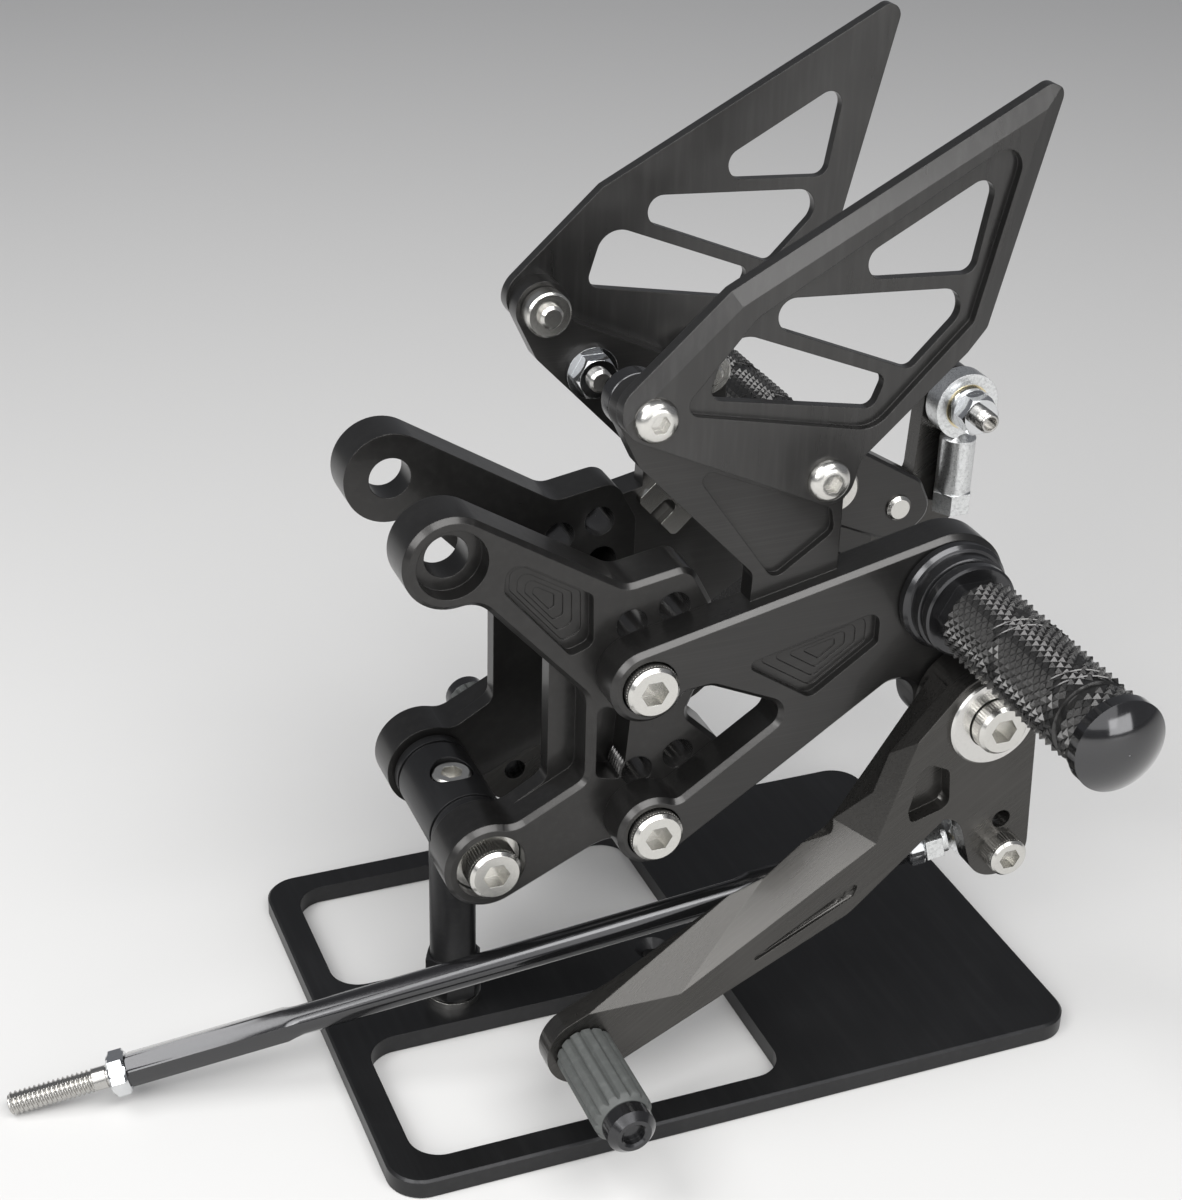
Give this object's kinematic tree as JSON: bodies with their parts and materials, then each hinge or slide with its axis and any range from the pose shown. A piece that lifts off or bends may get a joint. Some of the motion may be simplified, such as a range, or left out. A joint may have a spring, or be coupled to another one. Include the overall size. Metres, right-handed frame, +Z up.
{
  "type": "rear set footrest",
  "caption": "Motorcycle rear set footrests for both sides on a display stand, with pivoting gear lever and brake pedal, fixed foot pegs, heel guards and a link rod with rod ends.",
  "frame": {"origin": "end of the stand's post, flush with the underside of the base plate", "axes": "+X to the rear of the motorcycle, -Y to the gear lever's side, +Z up"},
  "size_m": [0.2853, 0.2342, 0.2484],
  "materials": {
    "anodised_black": "black anodised, satin, with finely machined faces",
    "guard_black": "black anodised with bright machined bevels",
    "gloss_black": "polished black anodised",
    "grip_black": "black anodised knurling",
    "sleeve_grey": "dark grey anodised, fluted",
    "stand_black": "satin black powder coat",
    "stainless": "stainless, turned and lightly polished",
    "zinc": "bright zinc plated",
    "bushing_silver": "bright machined"
  },
  "bodies": {
    "stand_and_plates": {"arm_stud": "zinc", "brake_pivot_bolt": "stainless", "brake_thrust_washer": "stainless", "cross_tube": "stand_black", "frame_bracket_left": "anodised_black", "frame_bracket_right": "anodised_black", "guard_black_nut": "anodised_black", "guard_bolts": "stainless", "guard_nuts": "stainless", "heel_guard_left": "guard_black", "heel_guard_right": "guard_black", "main_plate_left": "anodised_black", "main_plate_right": "anodised_black", "peg_base_left": "anodised_black", "peg_base_right": "anodised_black", "peg_bolt_left": "stainless", "peg_bolt_right": "stainless", "peg_cap_left": "gloss_black", "peg_cap_right": "gloss_black", "peg_grip_left": "grip_black", "peg_grip_right": "grip_black", "plate_bolts": "stainless", "post_lock_washer": "stand_black", "shift_pivot_bolt": "stainless", "shift_thrust_washer": "stainless", "stand_base": "stand_black", "stand_post": "stand_black", "stay_screw": "stainless", "stop_pin": "stainless", "stop_plate": "anodised_black", "stud_nut": "zinc", "switch_stay": "zinc", "tube_bolts": "stainless", "tube_screw": "stainless", "tube_washers": "stainless"},
    "shift_lever": {"shift_lever": "anodised_black", "shift_bushing": "bushing_silver", "shift_toe_pin": "anodised_black", "shift_toe_sleeve": "sleeve_grey", "shift_toe_cap": "gloss_black", "rod_end_bolt": "stainless", "rod_end_nut": "stainless"},
    "rod_end_ball": {"rod_end_ball": "zinc"},
    "link_rod": {"rod_end_body": "zinc", "rod_stud_inner": "zinc", "rod_jam_nuts": "zinc", "link_rod": "gloss_black", "rod_stud_outer": "zinc"},
    "brake_pedal": {"brake_pedal": "anodised_black", "brake_bushing": "bushing_silver", "brake_toe_pin": "anodised_black", "brake_toe_sleeve": "sleeve_grey", "brake_toe_cap": "gloss_black", "brake_rod_bolt": "stainless", "brake_rod_nut": "stainless", "brake_rod_washer": "stainless"},
    "brake_rod_ball": {"brake_rod_ball": "zinc"},
    "brake_rod_end": {"brake_rod_end": "zinc"}
  },
  "joints": [
    {"name": "shift_pivot", "type": "hinge", "parent": "stand_and_plates", "child": "shift_lever", "pos_m": [0.119, -0.048, 0.098], "axis": [0, 1, 0], "range_deg": [-2, 6]},
    {"name": "link_lift", "type": "hinge", "parent": "shift_lever", "child": "rod_end_ball", "pos_m": [0.1256, -0.045, 0.0593], "axis": [0, 1, 0], "range_deg": [-2, 1.5]},
    {"name": "link_sway", "type": "hinge", "parent": "rod_end_ball", "child": "link_rod", "pos_m": [0.1256, -0.045, 0.0593], "axis": [-0.2278, 0, 0.9737], "range_deg": [-3.5, 0.2]},
    {"name": "brake_pivot", "type": "hinge", "parent": "stand_and_plates", "child": "brake_pedal", "pos_m": [0.119, 0.048, 0.098], "axis": [0, 1, 0], "range_deg": [-15, 3]},
    {"name": "brake_link_swing", "type": "hinge", "parent": "brake_pedal", "child": "brake_rod_ball", "pos_m": [0.1595, 0.0375, 0.1373], "axis": [0, 1, 0], "range_deg": [-60, 15]},
    {"name": "brake_link_tilt", "type": "hinge", "parent": "brake_rod_ball", "child": "brake_rod_end", "pos_m": [0.1595, 0.0375, 0.1373], "axis": [1, 0, 0], "range_deg": [-6, 0.5]}
  ]
}
